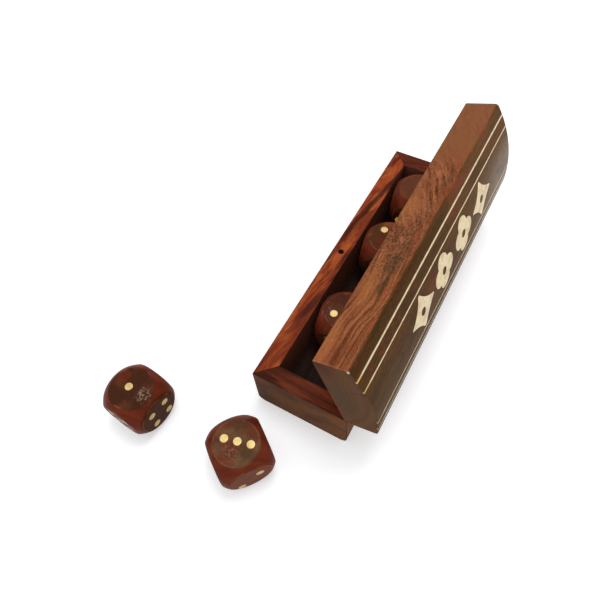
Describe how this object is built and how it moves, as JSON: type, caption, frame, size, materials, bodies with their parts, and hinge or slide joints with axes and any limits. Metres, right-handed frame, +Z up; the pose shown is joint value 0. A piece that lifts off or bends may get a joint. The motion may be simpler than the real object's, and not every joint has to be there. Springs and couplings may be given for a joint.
{
  "type": "dice box",
  "caption": "Small hardwood dice box with mitred walls, an open hinged lid with a round top and metal inlay, and round-cornered dice in the box and beside it.",
  "frame": {"origin": "middle of the underside of the base", "axes": "+X along the box, away from the end with the loose dice; +Y from the hinged back wall to the front wall; +Z up"},
  "size_m": [0.1627, 0.0966, 0.061],
  "materials": {
    "rim_wood": "waxed orange-red rosewood with dark streaks",
    "end_wood": "waxed dark red-brown rosewood",
    "base_wood": "plain dark wood",
    "lid_wood": "waxed figured rosewood, orange-brown sides and olive-brown top",
    "die_wood": "glossy red-brown wood",
    "inlay_brass": "satin pale brass, flush with the wood",
    "pip_brass": "satin brass",
    "hinge_brass": "satin brass"
  },
  "bodies": {
    "box": {"front_wall": "rim_wood", "back_wall": "rim_wood", "near_end_wall": "end_wood", "far_end_wall": "end_wood", "base_panel": "base_wood", "hinge_leaf_box_near": "hinge_brass", "hinge_leaf_box_far": "hinge_brass", "hinge_pin_near": "hinge_brass", "hinge_pin_far": "hinge_brass", "box_hinge_screws": "hinge_brass"},
    "lid": {"lid_block": "lid_wood", "lid_strip_back_outer": "inlay_brass", "lid_strip_back_inner": "inlay_brass", "lid_strip_front_inner": "inlay_brass", "lid_strip_front_outer": "inlay_brass", "inlay_lozenge_near": "inlay_brass", "inlay_flower_near": "inlay_brass", "inlay_flower_far": "inlay_brass", "inlay_lozenge_far": "inlay_brass", "hinge_leaf_lid_near": "hinge_brass", "hinge_leaf_lid_far": "hinge_brass", "lid_hinge_screws": "hinge_brass", "catch_peg": "hinge_brass"},
    "die_in_near_body": {"die_in_near": "die_wood", "pips_in_near": "pip_brass"},
    "die_in_middle_body": {"die_in_middle": "die_wood", "pips_in_middle": "pip_brass"},
    "die_in_far_body": {"die_in_far": "die_wood", "pips_in_far": "pip_brass"},
    "die_out_left_body": {"die_out_left": "die_wood", "pips_out_left": "pip_brass"},
    "die_out_right_body": {"die_out_right": "die_wood", "pips_out_right": "pip_brass"}
  },
  "joints": [
    {"name": "lid_hinge", "type": "hinge", "parent": "box", "child": "lid", "pos_m": [0, -0.0178, 0.02245], "axis": [1, 0, 0], "range_deg": [-72.5, 0]},
    {"name": "die_in_near_lift", "type": "slide", "parent": "box", "child": "die_in_near_body", "axis": [0, 0, 1], "range_m": [0, 0.022]},
    {"name": "die_in_middle_lift", "type": "slide", "parent": "box", "child": "die_in_middle_body", "axis": [0, 0, 1], "range_m": [0, 0.022]},
    {"name": "die_in_far_lift", "type": "slide", "parent": "box", "child": "die_in_far_body", "axis": [0, 0, 1], "range_m": [0, 0.022]},
    {"name": "die_out_left_lift", "type": "slide", "parent": "box", "child": "die_out_left_body", "axis": [0, 0, 1], "range_m": [0, 0.03]},
    {"name": "die_out_right_lift", "type": "slide", "parent": "box", "child": "die_out_right_body", "axis": [0, 0, 1], "range_m": [0, 0.03]}
  ]
}
